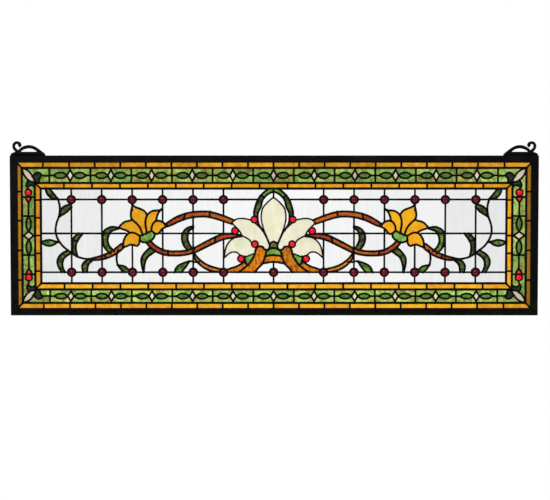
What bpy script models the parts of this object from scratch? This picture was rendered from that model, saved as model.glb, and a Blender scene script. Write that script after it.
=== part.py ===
"""Stained glass transom panel: a long low window of copper-foiled glass in a black metal
channel frame, hung by two scroll hangers soldered to the top of the frame.

X runs along the panel, the front faces -Y and Z is up. The origin lies midway between the
two hangers, at the crown of their eyes, where the hooks bear. Sizes are in metres. The leaded
pattern is drawn once for the right half, in the units of the pattern drawing, and is
stretched to the field and mirrored.
"""

import math

import bmesh
import bpy
from mathutils import Vector
from mathutils.geometry import delaunay_2d_cdt

# Frame: a channel whose slot takes the edge of the glass.
FRAME_WIDTH = 0.838
FRAME_HEIGHT = 0.254
FRAME_DEPTH = 0.010
FRAME_FACE = 0.0115
FRAME_CHAMFER = 0.0008
GLASS_BITE = 0.0055
SLOT_CLEARANCE = 0.0004
TOUCH_GAP = 0.0003

# Glass bands from the frame inwards, measured from seam to seam.
GLASS_THICKNESS = 0.003
FOIL_GAP = 0.0005
OUTER_BAND = 0.0078
GREEN_BAND = 0.0215
INNER_BAND = 0.0101

# Solder seams.
SOLDER_HEIGHT = 0.0012
BORDER_SEAM = 0.0027
GRID_SEAM = 0.0023
MOTIF_SEAM = 0.0030
SMALLEST_OPENING = 0.0032
SHORTEST_EDGE = 0.0003
FLATTEST_BEND = 8.0

# Tiles of the border, along the long edges and up the short ones.
OUTER_TILE = 0.0405
OUTER_SIDE_TILE = 0.04725
INNER_TILE = 0.0443
INNER_SIDE_TILE = 0.0282
GREEN_UNIT = 0.0645
GREEN_SIDE_UNIT = 0.062
GREEN_CORNER = 0.0342
SIDE_BEAD_TO_CORNER = 0.030
DIAMOND_WIDTH = 0.0104
SIDE_DIAMOND_LENGTH = 0.017
SIDE_DIAMOND_HEIGHT = 0.013
CORNER_LEAF_LENGTH = 0.0275
CORNER_LEAF_WIDTH = 0.0086

# Domed jewels and beads of pressed glass, over their solder rings.
JEWEL_RADIUS = 0.0079
JEWEL_RISE = 0.0017
BEAD_RADIUS = 0.0055
BEAD_RISE = 0.0014
DOME_SIDES = 6
DOME_TOP = 0.52

# Scroll hangers.
HANGER_LENGTH = 0.056
HANGER_HEIGHT = 0.0223
HANGER_THICKNESS = 0.005

# The pattern drawing's own units: its half width and half height, the heights where the middle
# seam meets the palmette, and the hanger's sizes.
DRAWN_HALF_WIDTH = 368.2
DRAWN_HALF_HEIGHT = 75.1
PETAL_TOP = 60.8
ARCH_BOTTOM = -41.8
DRAWN_HANGER_LENGTH = 56.0
DRAWN_HANGER_HEIGHT = 22.3
DRAWN_EYE_CROWN = 11.3

# Worked out from the sizes above. Insets are distances from the outside of the frame.
EYE_CROWN = TOUCH_GAP + DRAWN_EYE_CROWN * HANGER_HEIGHT / DRAWN_HANGER_HEIGHT
PANEL_Z = -EYE_CROWN - FRAME_HEIGHT / 2
OUTER_SEAM = FRAME_FACE + OUTER_BAND
GREEN_SEAM = OUTER_SEAM + GREEN_BAND
FIELD_SEAM = GREEN_SEAM + INNER_BAND
GLASS_EDGE = FRAME_FACE - GLASS_BITE
GREEN_LINE = (OUTER_SEAM + GREEN_SEAM) / 2
FIELD_HALF_WIDTH = FRAME_WIDTH / 2 - FIELD_SEAM
FIELD_HALF_HEIGHT = FRAME_HEIGHT / 2 - FIELD_SEAM
GLASS_FRONT = -GLASS_THICKNESS / 2
SOLDER_BACK = GLASS_FRONT - TOUCH_GAP
SLOT_HALF = GLASS_THICKNESS / 2 + SLOT_CLEARANCE

# Pattern drawing, right half: lines of the clear grid.
COLUMNS = (79.5, 127.8, 176.1, 224.4, 272.7, 321.0)
UPPER_ROW = 57.3
MIDDLE_ROW = 3.4
LOWER_ROW = -58.3
ROW_STARTS = {UPPER_ROW: 26.0, MIDDLE_ROW: 52.0, LOWER_ROW: 0.0}

# Where the pieces of the flower meet, by pairs.
CALYX_INNER = (193.8, 7.8)
CALYX_TOP = (202.1, 3.6)
CALYX_OUTER = (208.0, 0.9)
CALYX_CORNER = (212.2, -0.7)
CALYX_LOW = (212.6, -7.1)
INNER_PETALS = (190.5, 20.2)
TOP_PETALS = (202.3, 35.3)
TOP_PETALS_MID = (202.4, 20.0)
OUTER_PETALS = (224.7, 24.3)
OUTER_PETALS_MID = (212.8, 12.6)
LOW_PETALS = (228.5, 5.4)
LOW_PETALS_MID = (217.5, 3.9)

FLOWER = {
    "petal_top": (
        (221.5, 45.8), (211.5, 42.9), TOP_PETALS, TOP_PETALS_MID, CALYX_TOP, CALYX_OUTER,
        OUTER_PETALS_MID, OUTER_PETALS, (225.6, 35.0),
    ),
    "petal_inner_high": (
        TOP_PETALS, (191.8, 38.8), (177.4, 41.3), (183.6, 31.3), (185.3, 23.9), INNER_PETALS,
        (193.6, 14.0), CALYX_INNER, CALYX_TOP, TOP_PETALS_MID,
    ),
    "petal_inner_low": (
        INNER_PETALS, (180.1, 23.1), (169.8, 16.4), (179.0, 8.0), (186.0, 3.4), CALYX_INNER,
        (193.6, 14.0),
    ),
    "petal_outer_high": (
        OUTER_PETALS, OUTER_PETALS_MID, CALYX_OUTER, CALYX_CORNER, LOW_PETALS_MID, LOW_PETALS,
        (237.2, 10.4), (246.4, 12.4), (237.2, 22.0),
    ),
    "petal_outer_low": (
        LOW_PETALS, LOW_PETALS_MID, CALYX_CORNER, CALYX_LOW, (213.1, -12.6), (220.8, -16.7),
        (230.2, -15.3), (238.4, -18.5), (238.9, -10.0), (234.5, 2.6),
    ),
    "calyx": (
        CALYX_INNER, (188.8, 0.2), (196.4, -9.4), (208.5, -9.6), CALYX_LOW, CALYX_CORNER,
        CALYX_OUTER, CALYX_TOP,
    ),
}

# Where the pieces of the palmette meet.
BUD_TIP = (0.0, -9.8)
BUD_SIDE = (6.2, -13.4)
BUD_FOOT = (6.4, -20.4)
BUD_BASE = (0.0, -20.4)
CRESCENT_END = (13.2, -33.0)
CRESCENT_BASE = (0.0, -31.0)
ARCH_FOOT = (15.8, -44.6)
COMMA_HEAD = (17.2, -18.2)
COMMA_NECK = (13.0, -24.0)
COMMA_SIDE = (30.8, -28.5)
COMMA_LEAF = (33.5, -37.0)
LEAF_TIP = (41.5, -47.5)
LEAF_TOP = (46.0, -34.0)
LEAF_MID = (37.5, -31.0)
PETAL_BEAD = (30.0, -15.0)
PETALS_MID = (38.0, -8.0)
SIDE_PETALS = (51.0, -0.8)

PALMETTE_SIDES = {
    "side_petal_high": (
        (66.7, 19.9), (61.5, 25.0), (52.1, 27.2), (33.9, 23.4), (18.3, 9.1), (8.5, -8.5),
        BUD_SIDE, BUD_FOOT, COMMA_NECK, COMMA_HEAD, PETAL_BEAD, PETALS_MID, SIDE_PETALS,
        (55.6, 9.1),
    ),
    "side_petal_low": (
        SIDE_PETALS, PETALS_MID, PETAL_BEAD, COMMA_SIDE, LEAF_MID, LEAF_TOP, (50.0, -33.0),
        (58.0, -26.9), (70.7, -28.6), (78.7, -35.4), (76.8, -23.4), (68.4, -7.7),
    ),
    "base_comma": (
        COMMA_HEAD, COMMA_NECK, CRESCENT_END, ARCH_FOOT, (22.0, -50.5), (30.0, -58.3),
        (56.5, -58.3), LEAF_TIP, COMMA_LEAF, COMMA_SIDE, PETAL_BEAD,
    ),
    "side_leaf": (COMMA_SIDE, COMMA_LEAF, LEAF_TIP, (46.0, -43.0), LEAF_TOP, LEAF_MID),
}
PALMETTE_CENTRE = {
    "centre_petal": ((0.0, PETAL_TOP), (16.1, 45.3), (19.6, 30.0), (15.5, 9.1), BUD_SIDE, BUD_TIP),
    "bud": (BUD_TIP, BUD_SIDE, BUD_FOOT, BUD_BASE),
    "crescent": (BUD_BASE, BUD_FOOT, COMMA_NECK, CRESCENT_END, CRESCENT_BASE),
    "base_arch": (CRESCENT_BASE, CRESCENT_END, ARCH_FOOT, (0.0, ARCH_BOTTOM)),
}

# Leaves and hanging sprigs of the scrolling vine.
LEAVES = (
    ((360.5, DRAWN_HALF_HEIGHT), (353.5, 61.3), (341.9, 58.6), (348.7, 68.1), (353.5, DRAWN_HALF_HEIGHT)),
    ((321.0, 50.4), (332.8, 45.8), (338.7, 30.7), (321.0, 45.0)),
    ((368.2, -10.4), (354.2, -6.8), (343.1, -10.5), (355.0, -16.4)),
    ((310.1, 3.4), (317.5, -4.0), (320.4, -21.2), (311.7, -32.8), (313.8, -14.0), (303.1, 3.4)),
    ((327.3, -24.8), (339.5, -32.0), (343.1, -42.6), (336.4, -58.3), (332.0, -58.3),
     (335.4, -45.8), (322.5, -28.5)),
    ((294.0, -38.3), (304.3, -48.0), (302.7, -58.3), (296.8, -58.3), (295.5, -48.9),
     (285.8, -39.5)),
    ((246.4, 12.4), (258.6, 6.3), (263.4, -6.0), (254.3, -23.6), (259.9, -27.5),
     (270.2, -16.4), (270.5, 3.0), (257.0, 13.9)),
    ((248.0, -46.8), (237.2, -48.6), (227.0, -58.3), (239.5, -58.3)),
    ((196.0, -19.0), (208.0, -31.0), (210.4, -42.0), (207.0, -58.3), (201.0, -35.0),
     (186.5, -24.5)),
    ((158.0, -58.3), (153.0, -49.5), (134.0, -41.0), (146.9, -58.3)),
    ((128.0, 14.8), (134.8, 5.0), (136.5, -6.0), (125.1, -23.2), (130.0, -27.5),
     (142.5, -17.0), (145.2, -1.0), (139.0, 10.5)),
    ((77.0, -58.3), (66.0, -49.8), (51.5, -41.0), (44.5, -46.0), (56.5, -58.3)),
)
GREEN_ARC = (
    (0.0, 71.2), (15.1, 60.2), (20.1, 45.8), (25.3, 30.1), (23.1, 16.1), (33.9, 23.4),
    (32.3, 37.0), (26.6, 56.9), (13.1, DRAWN_HALF_HEIGHT), (0.0, DRAWN_HALF_HEIGHT),
)

# Thin solder tendrils, and stems as a centre line with the half width at each end.
TENDRILS = (
    ((341.9, 58.6), (338.9, 39.1), (345.5, 10.5), (341.9, -6.1), (330.5, -20.4),
     (314.3, -32.3), (289.0, -37.6)),
    ((245.5, -25.0), (249.2, -37.0), (248.0, -46.8)),
    ((134.0, -41.0), (127.0, -41.6), (121.1, -45.0)),
)
STEMS = (
    (((291.6, -37.5), (279.7, -36.7), (262.0, -31.2), (240.8, -16.4)), 1.0, 3.2),
    (((171.0, 15.8), (152.0, 26.1), (128.2, 33.7), (107.0, 34.3), (87.0, 30.0), (66.7, 21.5)),
     3.4, 4.0),
    (((200.4, -9.3), (187.0, -21.0), (164.7, -28.2), (140.9, -27.4), (117.1, -19.0),
      (98.1, -9.3), (79.1, -1.8), (51.0, -0.8)), 2.9, 3.6),
    (((127.4, -28.3), (116.3, -43.1), (98.1, -53.4), (79.5, -58.3)), 1.6, 3.2),
)
BEADS = ((30.5, 25.5), (61.3, 7.5), (29.6, -13.6), (51.8, -36.7))

# Scroll hanger, from the outer corner of the frame: inwards and up.
HANGER_BASE = ((0.5, 0.0), (0.5, 2.0), (7.6, 5.4), (43.0, 5.4), (48.8, 4.0), (56.0, 0.0))
HANGER_ARCH = (
    (13.5, 4.2), (19.0, 10.3), (24.3, 12.8), (30.1, 13.8), (36.2, 12.5), (42.5, 8.7),
    (48.8, 4.3), (54.0, 1.2),
)
HANGER_ARCH_WIDTHS = (3.0, 4.4, 5.0, 5.0, 5.0, 4.8, 4.0, 1.6)
HANGER_CURL = (
    (13.2, 5.0), (8.1, 9.8), (5.9, 14.9), (8.1, 19.5), (12.2, 20.5), (15.6, 18.6), (15.2, 15.6),
)
HANGER_CURL_WIDTHS = (4.4, 3.8, 3.5, 3.4, 3.3, 3.2, 3.6)


def material(name, colour, roughness, metallic=0.0, transmission=0.0):
    """One Principled material."""
    made = bpy.data.materials.new(name)
    made.use_nodes = True
    shader = made.node_tree.nodes["Principled BSDF"]
    shader.inputs["Base Color"].default_value = (*colour, 1)
    shader.inputs["Roughness"].default_value = roughness
    shader.inputs["Metallic"].default_value = metallic
    shader.inputs["Transmission Weight"].default_value = transmission
    made.diffuse_color = (*colour, 1)
    return made


def mirrored(points):
    """The same outline on the left half, still running the same way round."""
    return [(-x, z) for x, z in reversed(points)]


def on_field(points):
    """Points of the pattern drawing as places on the panel, from its middle."""
    wide = FIELD_HALF_WIDTH / DRAWN_HALF_WIDTH
    high = FIELD_HALF_HEIGHT / DRAWN_HALF_HEIGHT
    return [(x * wide, z * high) for x, z in points]


def both_halves(outlines):
    placed = [on_field(outline) for outline in outlines]
    return placed + [mirrored(outline) for outline in placed]


def counter_clockwise(points):
    area = sum(a[0] * b[1] - b[0] * a[1] for a, b in zip(points, [*points[1:], points[0]]))
    return list(points) if area > 0 else list(reversed(points))


def corner_shift(before, corner, after, longest=2.2):
    """Which way, and how far for each metre of offset, a corner moves to its left."""
    run_in = (Vector(corner) - Vector(before)).normalized()
    run_out = (Vector(after) - Vector(corner)).normalized()
    left = Vector((-run_in.y - run_out.y, run_in.x + run_out.x))
    if left.length < 1e-6:
        return Vector((-run_in.y, run_in.x))
    left.normalize()
    return left * min(longest, 1 / max(0.1, left.dot(Vector((-run_in.y, run_in.x)))))


def inset(points, distance):
    """A closed outline moved inwards, or outwards for a distance below zero."""
    ring = counter_clockwise(points)
    moved = []
    for i, corner in enumerate(ring):
        shift = corner_shift(ring[i - 1], corner, ring[(i + 1) % len(ring)])
        moved.append(tuple(Vector(corner) + shift * distance))
    return moved


def ribbon(points, widths):
    """The outline of a line drawn with the given width at each of its points."""
    ends = [Vector(p) for p in points]
    ends = [ends[0] * 2 - ends[1], *ends, ends[-1] * 2 - ends[-2]]
    left, right = [], []
    for i, width in enumerate(widths, start=1):
        shift = corner_shift(ends[i - 1], ends[i], ends[i + 1]) * (width / 2)
        left.append(tuple(ends[i] + shift))
        right.append(tuple(ends[i] - shift))
    return right + left[::-1]


def line(points, width):
    return ribbon(points, [width] * len(points))


def stem(points, start, end):
    """A stem's outline, whose half width runs evenly from one end to the other."""
    last = len(points) - 1
    return ribbon(points, [2 * (start + (end - start) * i / last) for i in range(last + 1)])


def disc(centre, radius, sides=DOME_SIDES):
    turns = [math.tau * (i + 0.5) / sides for i in range(sides)]
    return [(centre[0] + radius * math.cos(t), centre[1] + radius * math.sin(t)) for t in turns]


def rectangle(half_width, half_height):
    return [
        (-half_width, -half_height), (half_width, -half_height),
        (half_width, half_height), (-half_width, half_height),
    ]


def frame_rectangle(distance):
    """The rectangle that lies this far inside the outside of the frame."""
    return rectangle(FRAME_WIDTH / 2 - distance, FRAME_HEIGHT / 2 - distance)


def even_places(half_length, pitch, ends=0.0):
    """Places of the cross seams along a band, evenly spaced about its middle."""
    count = max(1, round(2 * (half_length - ends) / pitch)) - 1
    return [(i - (count - 1) / 2) * pitch for i in range(count)]


def fill_specks(triangles, covered, verts):
    """Marks as covered the gaps between seams that are too small to show glass."""
    owner = {}
    for i, corners in enumerate(triangles):
        for a, b in zip(corners, [*corners[1:], corners[0]]):
            owner.setdefault(frozenset((a, b)), []).append(i)
    seen = set()
    for start in range(len(triangles)):
        if covered[start] or start in seen:
            continue
        patch, queue, open_edge = [], [start], False
        seen.add(start)
        while queue:
            i = queue.pop()
            patch.append(i)
            corners = triangles[i]
            for a, b in zip(corners, [*corners[1:], corners[0]]):
                around = owner[frozenset((a, b))]
                open_edge |= len(around) == 1
                for j in around:
                    if not covered[j] and j not in seen:
                        seen.add(j)
                        queue.append(j)
        area = 0.0
        for i in patch:
            a, b, c = (verts[k] for k in triangles[i])
            area += abs((b - a).cross(c - a)) / 2
        if not open_edge and area < SMALLEST_OPENING**2:
            for i in patch:
                covered[i] = True


def on_dome_edge(vert):
    return len({face.material_index for face in vert.link_faces}) > 1


def flat_region(solids, cuts=(), domes=()):
    """The area that the solid outlines cover, less the cuts, with the domes over both."""
    outlines = [counter_clockwise(outline) for outline in (*solids, *cuts, *domes)]
    points, rings = [], []
    for outline in outlines:
        rings.append(list(range(len(points), len(points) + len(outline))))
        points.extend(Vector(p) for p in outline)
    verts, _, triangles, _, _, sources = delaunay_2d_cdt(points, [], rings, 1, 1e-6)
    first_cut = len(solids)
    first_dome = first_cut + len(cuts)
    domed = [any(i >= first_dome for i in ids) for ids in sources]
    covered = [
        dome or (any(i < first_cut for i in ids) and not any(i >= first_cut for i in ids))
        for dome, ids in zip(domed, sources)
    ]
    fill_specks(triangles, covered, verts)
    mesh = bmesh.new()
    corners = [mesh.verts.new((v.x, 0, v.y)) for v in verts]
    for triangle, here, dome in zip(triangles, covered, domed):
        if here:
            face = mesh.faces.new([corners[i] for i in triangle])
            face.material_index = int(dome)
    loose = [v for v in mesh.verts if not v.link_faces]
    bmesh.ops.delete(mesh, geom=loose, context="VERTS")
    bmesh.ops.remove_doubles(mesh, verts=mesh.verts, dist=SHORTEST_EDGE)
    for _ in range(2):
        bmesh.ops.dissolve_limit(
            mesh, angle_limit=math.radians(FLATTEST_BEND), use_dissolve_boundaries=False,
            verts=mesh.verts, edges=mesh.edges, delimit={"MATERIAL"},
        )
        inner = [v for v in mesh.verts if not v.is_boundary and not on_dome_edge(v)]
        bmesh.ops.dissolve_verts(mesh, verts=inner)
    return mesh


def raise_domes(mesh, rise_of):
    """Gives each domed face a sloping shoulder and a smaller raised top."""
    for face in [f for f in mesh.faces if f.material_index == 1]:
        radius = max((v.co - face.calc_center_median()).length for v in face.verts)
        bmesh.ops.inset_individual(
            mesh, faces=[face], thickness=radius * (1 - DOME_TOP), depth=rise_of(radius),
        )


def add_solid(name, mesh, front, thickness, *finishes, rise_of=None):
    """One named object: a flat region made thick, from its front face backwards."""
    bmesh.ops.translate(mesh, verts=mesh.verts, vec=(0, front, PANEL_Z))
    back = bmesh.ops.extrude_face_region(mesh, geom=mesh.faces[:])["geom"]
    moved = [item for item in back if isinstance(item, bmesh.types.BMVert)]
    bmesh.ops.translate(mesh, verts=moved, vec=(0, thickness, 0))
    bmesh.ops.recalc_face_normals(mesh, faces=mesh.faces)
    if rise_of:
        for face in mesh.faces:
            if face.normal.y > -0.5:
                face.material_index = 0
        raise_domes(mesh, rise_of)
    return add_object(name, mesh, *finishes)


def add_object(name, mesh, *finishes):
    data = bpy.data.meshes.new(name)
    mesh.to_mesh(data)
    mesh.free()
    for finish in finishes:
        data.materials.append(finish)
    made = bpy.data.objects.new(name, data)
    parts.objects.link(made)
    return made


def add_glass(name, outlines, finish, cuts=()):
    """A piece of flat glass, as wide as its seams less the foil round it."""
    solids = [inset(outline, FOIL_GAP / 2) for outline in outlines]
    holes = [inset(outline, -FOIL_GAP / 2) for outline in cuts]
    add_solid(name, flat_region(solids, holes), GLASS_FRONT, GLASS_THICKNESS, finish)


def add_rail(name, half_length, place, finish):
    """A length of channel with mitred ends. place puts (along, inwards, across) on the panel."""
    deep = FRAME_DEPTH / 2
    half_profile = (
        (0.0, deep - FRAME_CHAMFER), (FRAME_CHAMFER, deep),
        (FRAME_FACE - FRAME_CHAMFER, deep), (FRAME_FACE, deep - FRAME_CHAMFER),
        (FRAME_FACE, SLOT_HALF), (GLASS_EDGE - SLOT_CLEARANCE, SLOT_HALF),
    )
    profile = [*half_profile, *((inwards, -across) for inwards, across in reversed(half_profile))]
    mesh = bmesh.new()
    ring = mesh.faces.new([mesh.verts.new((-1, inwards, across)) for inwards, across in profile])
    far = bmesh.ops.extrude_face_region(mesh, geom=[ring])["geom"]
    for vert in far:
        if isinstance(vert, bmesh.types.BMVert):
            vert.co.x = 1
    for vert in mesh.verts:
        side, inwards, across = vert.co
        along = side * (half_length - inwards - TOUCH_GAP)
        vert.co = Vector(place(along, inwards, across)) + Vector((0, 0, PANEL_Z))
    bmesh.ops.recalc_face_normals(mesh, faces=mesh.faces)
    add_object(name, mesh, finish)


def make_frame():
    black = material("frame_black", (0.008, 0.008, 0.007), 0.42, 0.6)
    wide, high = FRAME_WIDTH / 2, FRAME_HEIGHT / 2
    add_rail("frame_rail_top", wide, lambda s, i, y: (s, y, high - i), black)
    add_rail("frame_rail_bottom", wide, lambda s, i, y: (s, y, i - high), black)
    add_rail("frame_rail_left", high, lambda s, i, y: (i - wide, y, s), black)
    add_rail("frame_rail_right", high, lambda s, i, y: (wide - i, y, s), black)


def make_hanger(name, side, finish):
    """A scroll on a foot bar, with an open eye under its arch. It stands on the top rail."""
    wide = HANGER_LENGTH / DRAWN_HANGER_LENGTH
    high = HANGER_HEIGHT / DRAWN_HANGER_HEIGHT

    def placed(points):
        top = FRAME_HEIGHT / 2 + TOUCH_GAP
        return [(side * (FRAME_WIDTH / 2 - x * wide), top + z * high) for x, z in points]

    solids = [
        placed(HANGER_BASE),
        placed(ribbon(HANGER_ARCH, HANGER_ARCH_WIDTHS)),
        placed(ribbon(HANGER_CURL, HANGER_CURL_WIDTHS)),
    ]
    add_solid(name, flat_region(solids), -HANGER_THICKNESS / 2, HANGER_THICKNESS, finish)


def make_border_glass(amber):
    """Three mitred bands of glass, each as four strips."""
    green = material("green_glass", (0.16, 0.36, 0.10), 0.25, transmission=0.5)
    bands = (
        ("outer_amber", GLASS_EDGE, OUTER_SEAM, amber),
        ("green_border", OUTER_SEAM, GREEN_SEAM, green),
        ("inner_amber", GREEN_SEAM, FIELD_SEAM, amber),
    )
    for band, outside, inside, finish in bands:
        outer, inner = frame_rectangle(outside), frame_rectangle(inside)
        for i, side in enumerate(("bottom", "right", "top", "left")):
            j = (i + 1) % 4
            strip = [outer[i], outer[j], inner[j], inner[i]]
            add_glass(f"{band}_{side}", [strip], finish)


def whole(half):
    """A symmetrical outline from the points of its right half, listed top to bottom."""
    placed = on_field(half)
    return placed + mirrored([point for point in placed if point[0] > 0])


def make_field_glass(amber):
    """The clear field with its vine, and the flowers and palmette let into it."""
    clear = material("clear_glass", (0.9, 0.9, 0.9), 0.08, transmission=0.9)
    cream = material("cream_glass", (0.78, 0.74, 0.60), 0.3, transmission=0.3)
    leaf = material("leaf_glass", (0.14, 0.33, 0.06), 0.3, transmission=0.4)
    orange = material("orange_glass", (0.72, 0.27, 0.02), 0.3, transmission=0.4)
    olive = material("olive_glass", (0.16, 0.12, 0.02), 0.3, transmission=0.4)
    finishes = {
        **{piece: amber for piece in FLOWER}, "calyx": leaf, "side_leaf": leaf, "crescent": leaf,
        "base_comma": orange, "base_arch": orange, "bud": olive,
    }
    let_in = []
    for piece, outline in {**FLOWER, **PALMETTE_SIDES}.items():
        right = on_field(outline)
        for side, placed in (("right", right), ("left", mirrored(right))):
            add_glass(f"{piece}_{side}", [placed], finishes.get(piece, cream))
            let_in.append(placed)
    for piece, half in PALMETTE_CENTRE.items():
        add_glass(piece, [whole(half)], finishes.get(piece, cream))
        let_in.append(whole(half))
    add_glass("field_glass", [frame_rectangle(FIELD_SEAM)], clear, cuts=let_in)


def border_seams():
    """Seams of the three bands: the long ones between them and the cross seams."""
    wide, high = FRAME_WIDTH / 2, FRAME_HEIGHT / 2
    bars = []
    for inset_by in (OUTER_SEAM, GREEN_SEAM, FIELD_SEAM):
        ring = frame_rectangle(inset_by)
        for a, b in zip(ring, [*ring[1:], ring[0]]):
            bars.append(line([a, b], BORDER_SEAM))
    bands = (
        (FRAME_FACE + TOUCH_GAP, OUTER_SEAM, OUTER_TILE, OUTER_SIDE_TILE),
        (GREEN_SEAM, FIELD_SEAM, INNER_TILE, INNER_SIDE_TILE),
    )
    for outside, inside, tile, side_tile in bands:
        middle = (outside + inside) / 2
        for x in even_places(wide - middle, tile):
            for end in (1, -1):
                bars.append(line([(x, end * (high - outside)), (x, end * (high - inside))],
                                 BORDER_SEAM))
        for z in even_places(high - middle, side_tile):
            for end in (1, -1):
                bars.append(line([(end * (wide - outside), z), (end * (wide - inside), z)],
                                 BORDER_SEAM))
        start = outside + BORDER_SEAM / 2
        for across in (1, -1):
            for up in (1, -1):
                bars.append(line([(across * (wide - start), up * (high - start)),
                                  (across * (wide - inside), up * (high - inside))],
                                 BORDER_SEAM))
    return bars


def green_seams():
    """Cross seams of the green band, its diamonds and the leaves across its corners."""
    wide, high = FRAME_WIDTH / 2, FRAME_HEIGHT / 2
    bars, diamonds = [], []
    units = even_places(wide - GREEN_LINE, GREEN_UNIT, GREEN_CORNER - GREEN_UNIT / 2)
    for end in (1, -1):
        middle = end * (high - GREEN_LINE)
        for x in units:
            bars.append(line([(x, end * (high - OUTER_SEAM)), (x, end * (high - GREEN_SEAM))],
                             BORDER_SEAM))
        for a, b in zip(units, units[1:]):
            diamonds.append([
                ((a + b) / 2 - DIAMOND_WIDTH / 2, middle), ((a + b) / 2, middle - GREEN_BAND / 2),
                ((a + b) / 2 + DIAMOND_WIDTH / 2, middle), ((a + b) / 2, middle + GREEN_BAND / 2),
            ])
        side = end * (wide - GREEN_LINE)
        for z in (-GREEN_SIDE_UNIT / 2, GREEN_SIDE_UNIT / 2):
            bars.append(line([(end * (wide - OUTER_SEAM), z), (end * (wide - GREEN_SEAM), z)],
                             BORDER_SEAM))
        diamonds.append([
            (side - SIDE_DIAMOND_LENGTH / 2, 0), (side, -SIDE_DIAMOND_HEIGHT / 2),
            (side + SIDE_DIAMOND_LENGTH / 2, 0), (side, SIDE_DIAMOND_HEIGHT / 2),
        ])
        bars.append(line([(side - GREEN_BAND / 2, 0), (side + GREEN_BAND / 2, 0)], GRID_SEAM))
        for up in (1, -1):
            bars.append(line([(side, up * GREEN_SIDE_UNIT / 2), (side, up * (high - GREEN_LINE))],
                             GRID_SEAM))
            corner = Vector((side, up * (high - GREEN_LINE)))
            along = Vector((end, up)).normalized() * CORNER_LEAF_LENGTH / 2
            across = Vector((-up, end)).normalized() * CORNER_LEAF_WIDTH / 2
            diamonds.append([tuple(corner + shift) for shift in (along, across, -along, -across)])
    return bars, diamonds


def grid_seams():
    """Straight seams of the clear field, from border to border."""
    bars = []
    for x in COLUMNS:
        bars.append([(x, -DRAWN_HALF_HEIGHT), (x, DRAWN_HALF_HEIGHT)])
    for z, start in ROW_STARTS.items():
        bars.append([(start, z), (DRAWN_HALF_WIDTH, z)])
    bars = [line(bar, GRID_SEAM) for bar in (on_field(bar) for bar in bars)]
    bars += [mirrored(bar) for bar in bars]
    for ends in (((0, DRAWN_HALF_HEIGHT), (0, PETAL_TOP)), ((0, ARCH_BOTTOM), (0, -DRAWN_HALF_HEIGHT))):
        bars.append(line(on_field(ends), GRID_SEAM))
    return bars


def make_lattice():
    """The raised solder seams on the front of the glass, with the domed jewels set in them."""
    half = MOTIF_SEAM / 2
    petals = both_halves([*FLOWER.values(), *PALMETTE_SIDES.values()])
    petals += [whole(outline) for outline in PALMETTE_CENTRE.values()]
    stems = both_halves([stem(*parts_of_stem) for parts_of_stem in STEMS])
    arcs = both_halves([GREEN_ARC])
    tendrils = [line(on_field(points), MOTIF_SEAM) for points in TENDRILS]
    tendrils += [mirrored(outline) for outline in tendrils]
    bars, diamonds = green_seams()
    opened = [*petals, *arcs, *diamonds]
    solids = [*border_seams(), *bars, *grid_seams(), *tendrils, *both_halves(LEAVES)]
    solids += [inset(outline, -half) for outline in (*opened, *stems)]
    cuts = [inset(outline, half) for outline in opened]
    domes = []
    high, wide = FRAME_HEIGHT / 2, FRAME_WIDTH / 2
    for x in COLUMNS:
        for z in (UPPER_ROW, LOWER_ROW):
            for centre in on_field([(x, z), (-x, z)]):
                domes.append(disc(centre, JEWEL_RADIUS))
    domes.append(disc(on_field([(0, LOWER_ROW)])[0], JEWEL_RADIUS))
    for x, z in BEADS:
        for centre in on_field([(x, z), (-x, z)]):
            domes.append(disc(centre, BEAD_RADIUS))
    for across in (1, -1):
        for up in (1, -1):
            centre = (across * (wide - GREEN_LINE), up * (high - GREEN_LINE - SIDE_BEAD_TO_CORNER))
            domes.append(disc(centre, BEAD_RADIUS))
    solder = material("solder_black", (0.006, 0.006, 0.005), 0.35, 0.7)
    jewel = material("jewel_red", (0.30, 0.002, 0.015), 0.08, transmission=0.3)
    split = (JEWEL_RADIUS + BEAD_RADIUS) / 2
    add_solid(
        "solder_lattice", flat_region(solids, cuts, domes), SOLDER_BACK - SOLDER_HEIGHT,
        SOLDER_HEIGHT, solder, jewel, rise_of=lambda r: JEWEL_RISE if r > split else BEAD_RISE,
    )


for old in list(bpy.data.objects):
    bpy.data.objects.remove(old)
parts = bpy.data.collections.new("stained_glass_panel")
bpy.context.scene.collection.children.link(parts)

make_frame()
hanger_black = material("hanger_black", (0.008, 0.008, 0.007), 0.45, 0.6)
make_hanger("hanger_left", -1, hanger_black)
make_hanger("hanger_right", 1, hanger_black)
amber_glass = material("amber_glass", (0.62, 0.27, 0.03), 0.2, transmission=0.5)
make_border_glass(amber_glass)
make_field_glass(amber_glass)
make_lattice()
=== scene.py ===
import math
import random

import bmesh
import bpy
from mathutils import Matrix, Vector
from mathutils.geometry import delaunay_2d_cdt, intersect_point_line


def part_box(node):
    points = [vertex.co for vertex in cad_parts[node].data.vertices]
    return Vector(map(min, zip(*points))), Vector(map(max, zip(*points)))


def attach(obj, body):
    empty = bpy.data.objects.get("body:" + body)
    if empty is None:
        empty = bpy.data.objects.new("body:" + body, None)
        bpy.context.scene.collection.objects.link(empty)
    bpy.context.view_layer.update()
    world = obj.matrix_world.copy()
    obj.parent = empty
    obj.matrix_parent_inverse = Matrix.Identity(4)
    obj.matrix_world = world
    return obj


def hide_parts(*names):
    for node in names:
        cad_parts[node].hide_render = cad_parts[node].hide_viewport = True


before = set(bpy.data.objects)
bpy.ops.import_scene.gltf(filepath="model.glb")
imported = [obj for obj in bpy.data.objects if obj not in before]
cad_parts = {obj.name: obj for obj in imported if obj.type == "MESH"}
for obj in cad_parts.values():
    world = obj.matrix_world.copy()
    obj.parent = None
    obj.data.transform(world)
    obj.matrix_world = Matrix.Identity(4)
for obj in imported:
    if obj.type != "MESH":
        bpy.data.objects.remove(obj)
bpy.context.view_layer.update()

MM = 0.001

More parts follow.
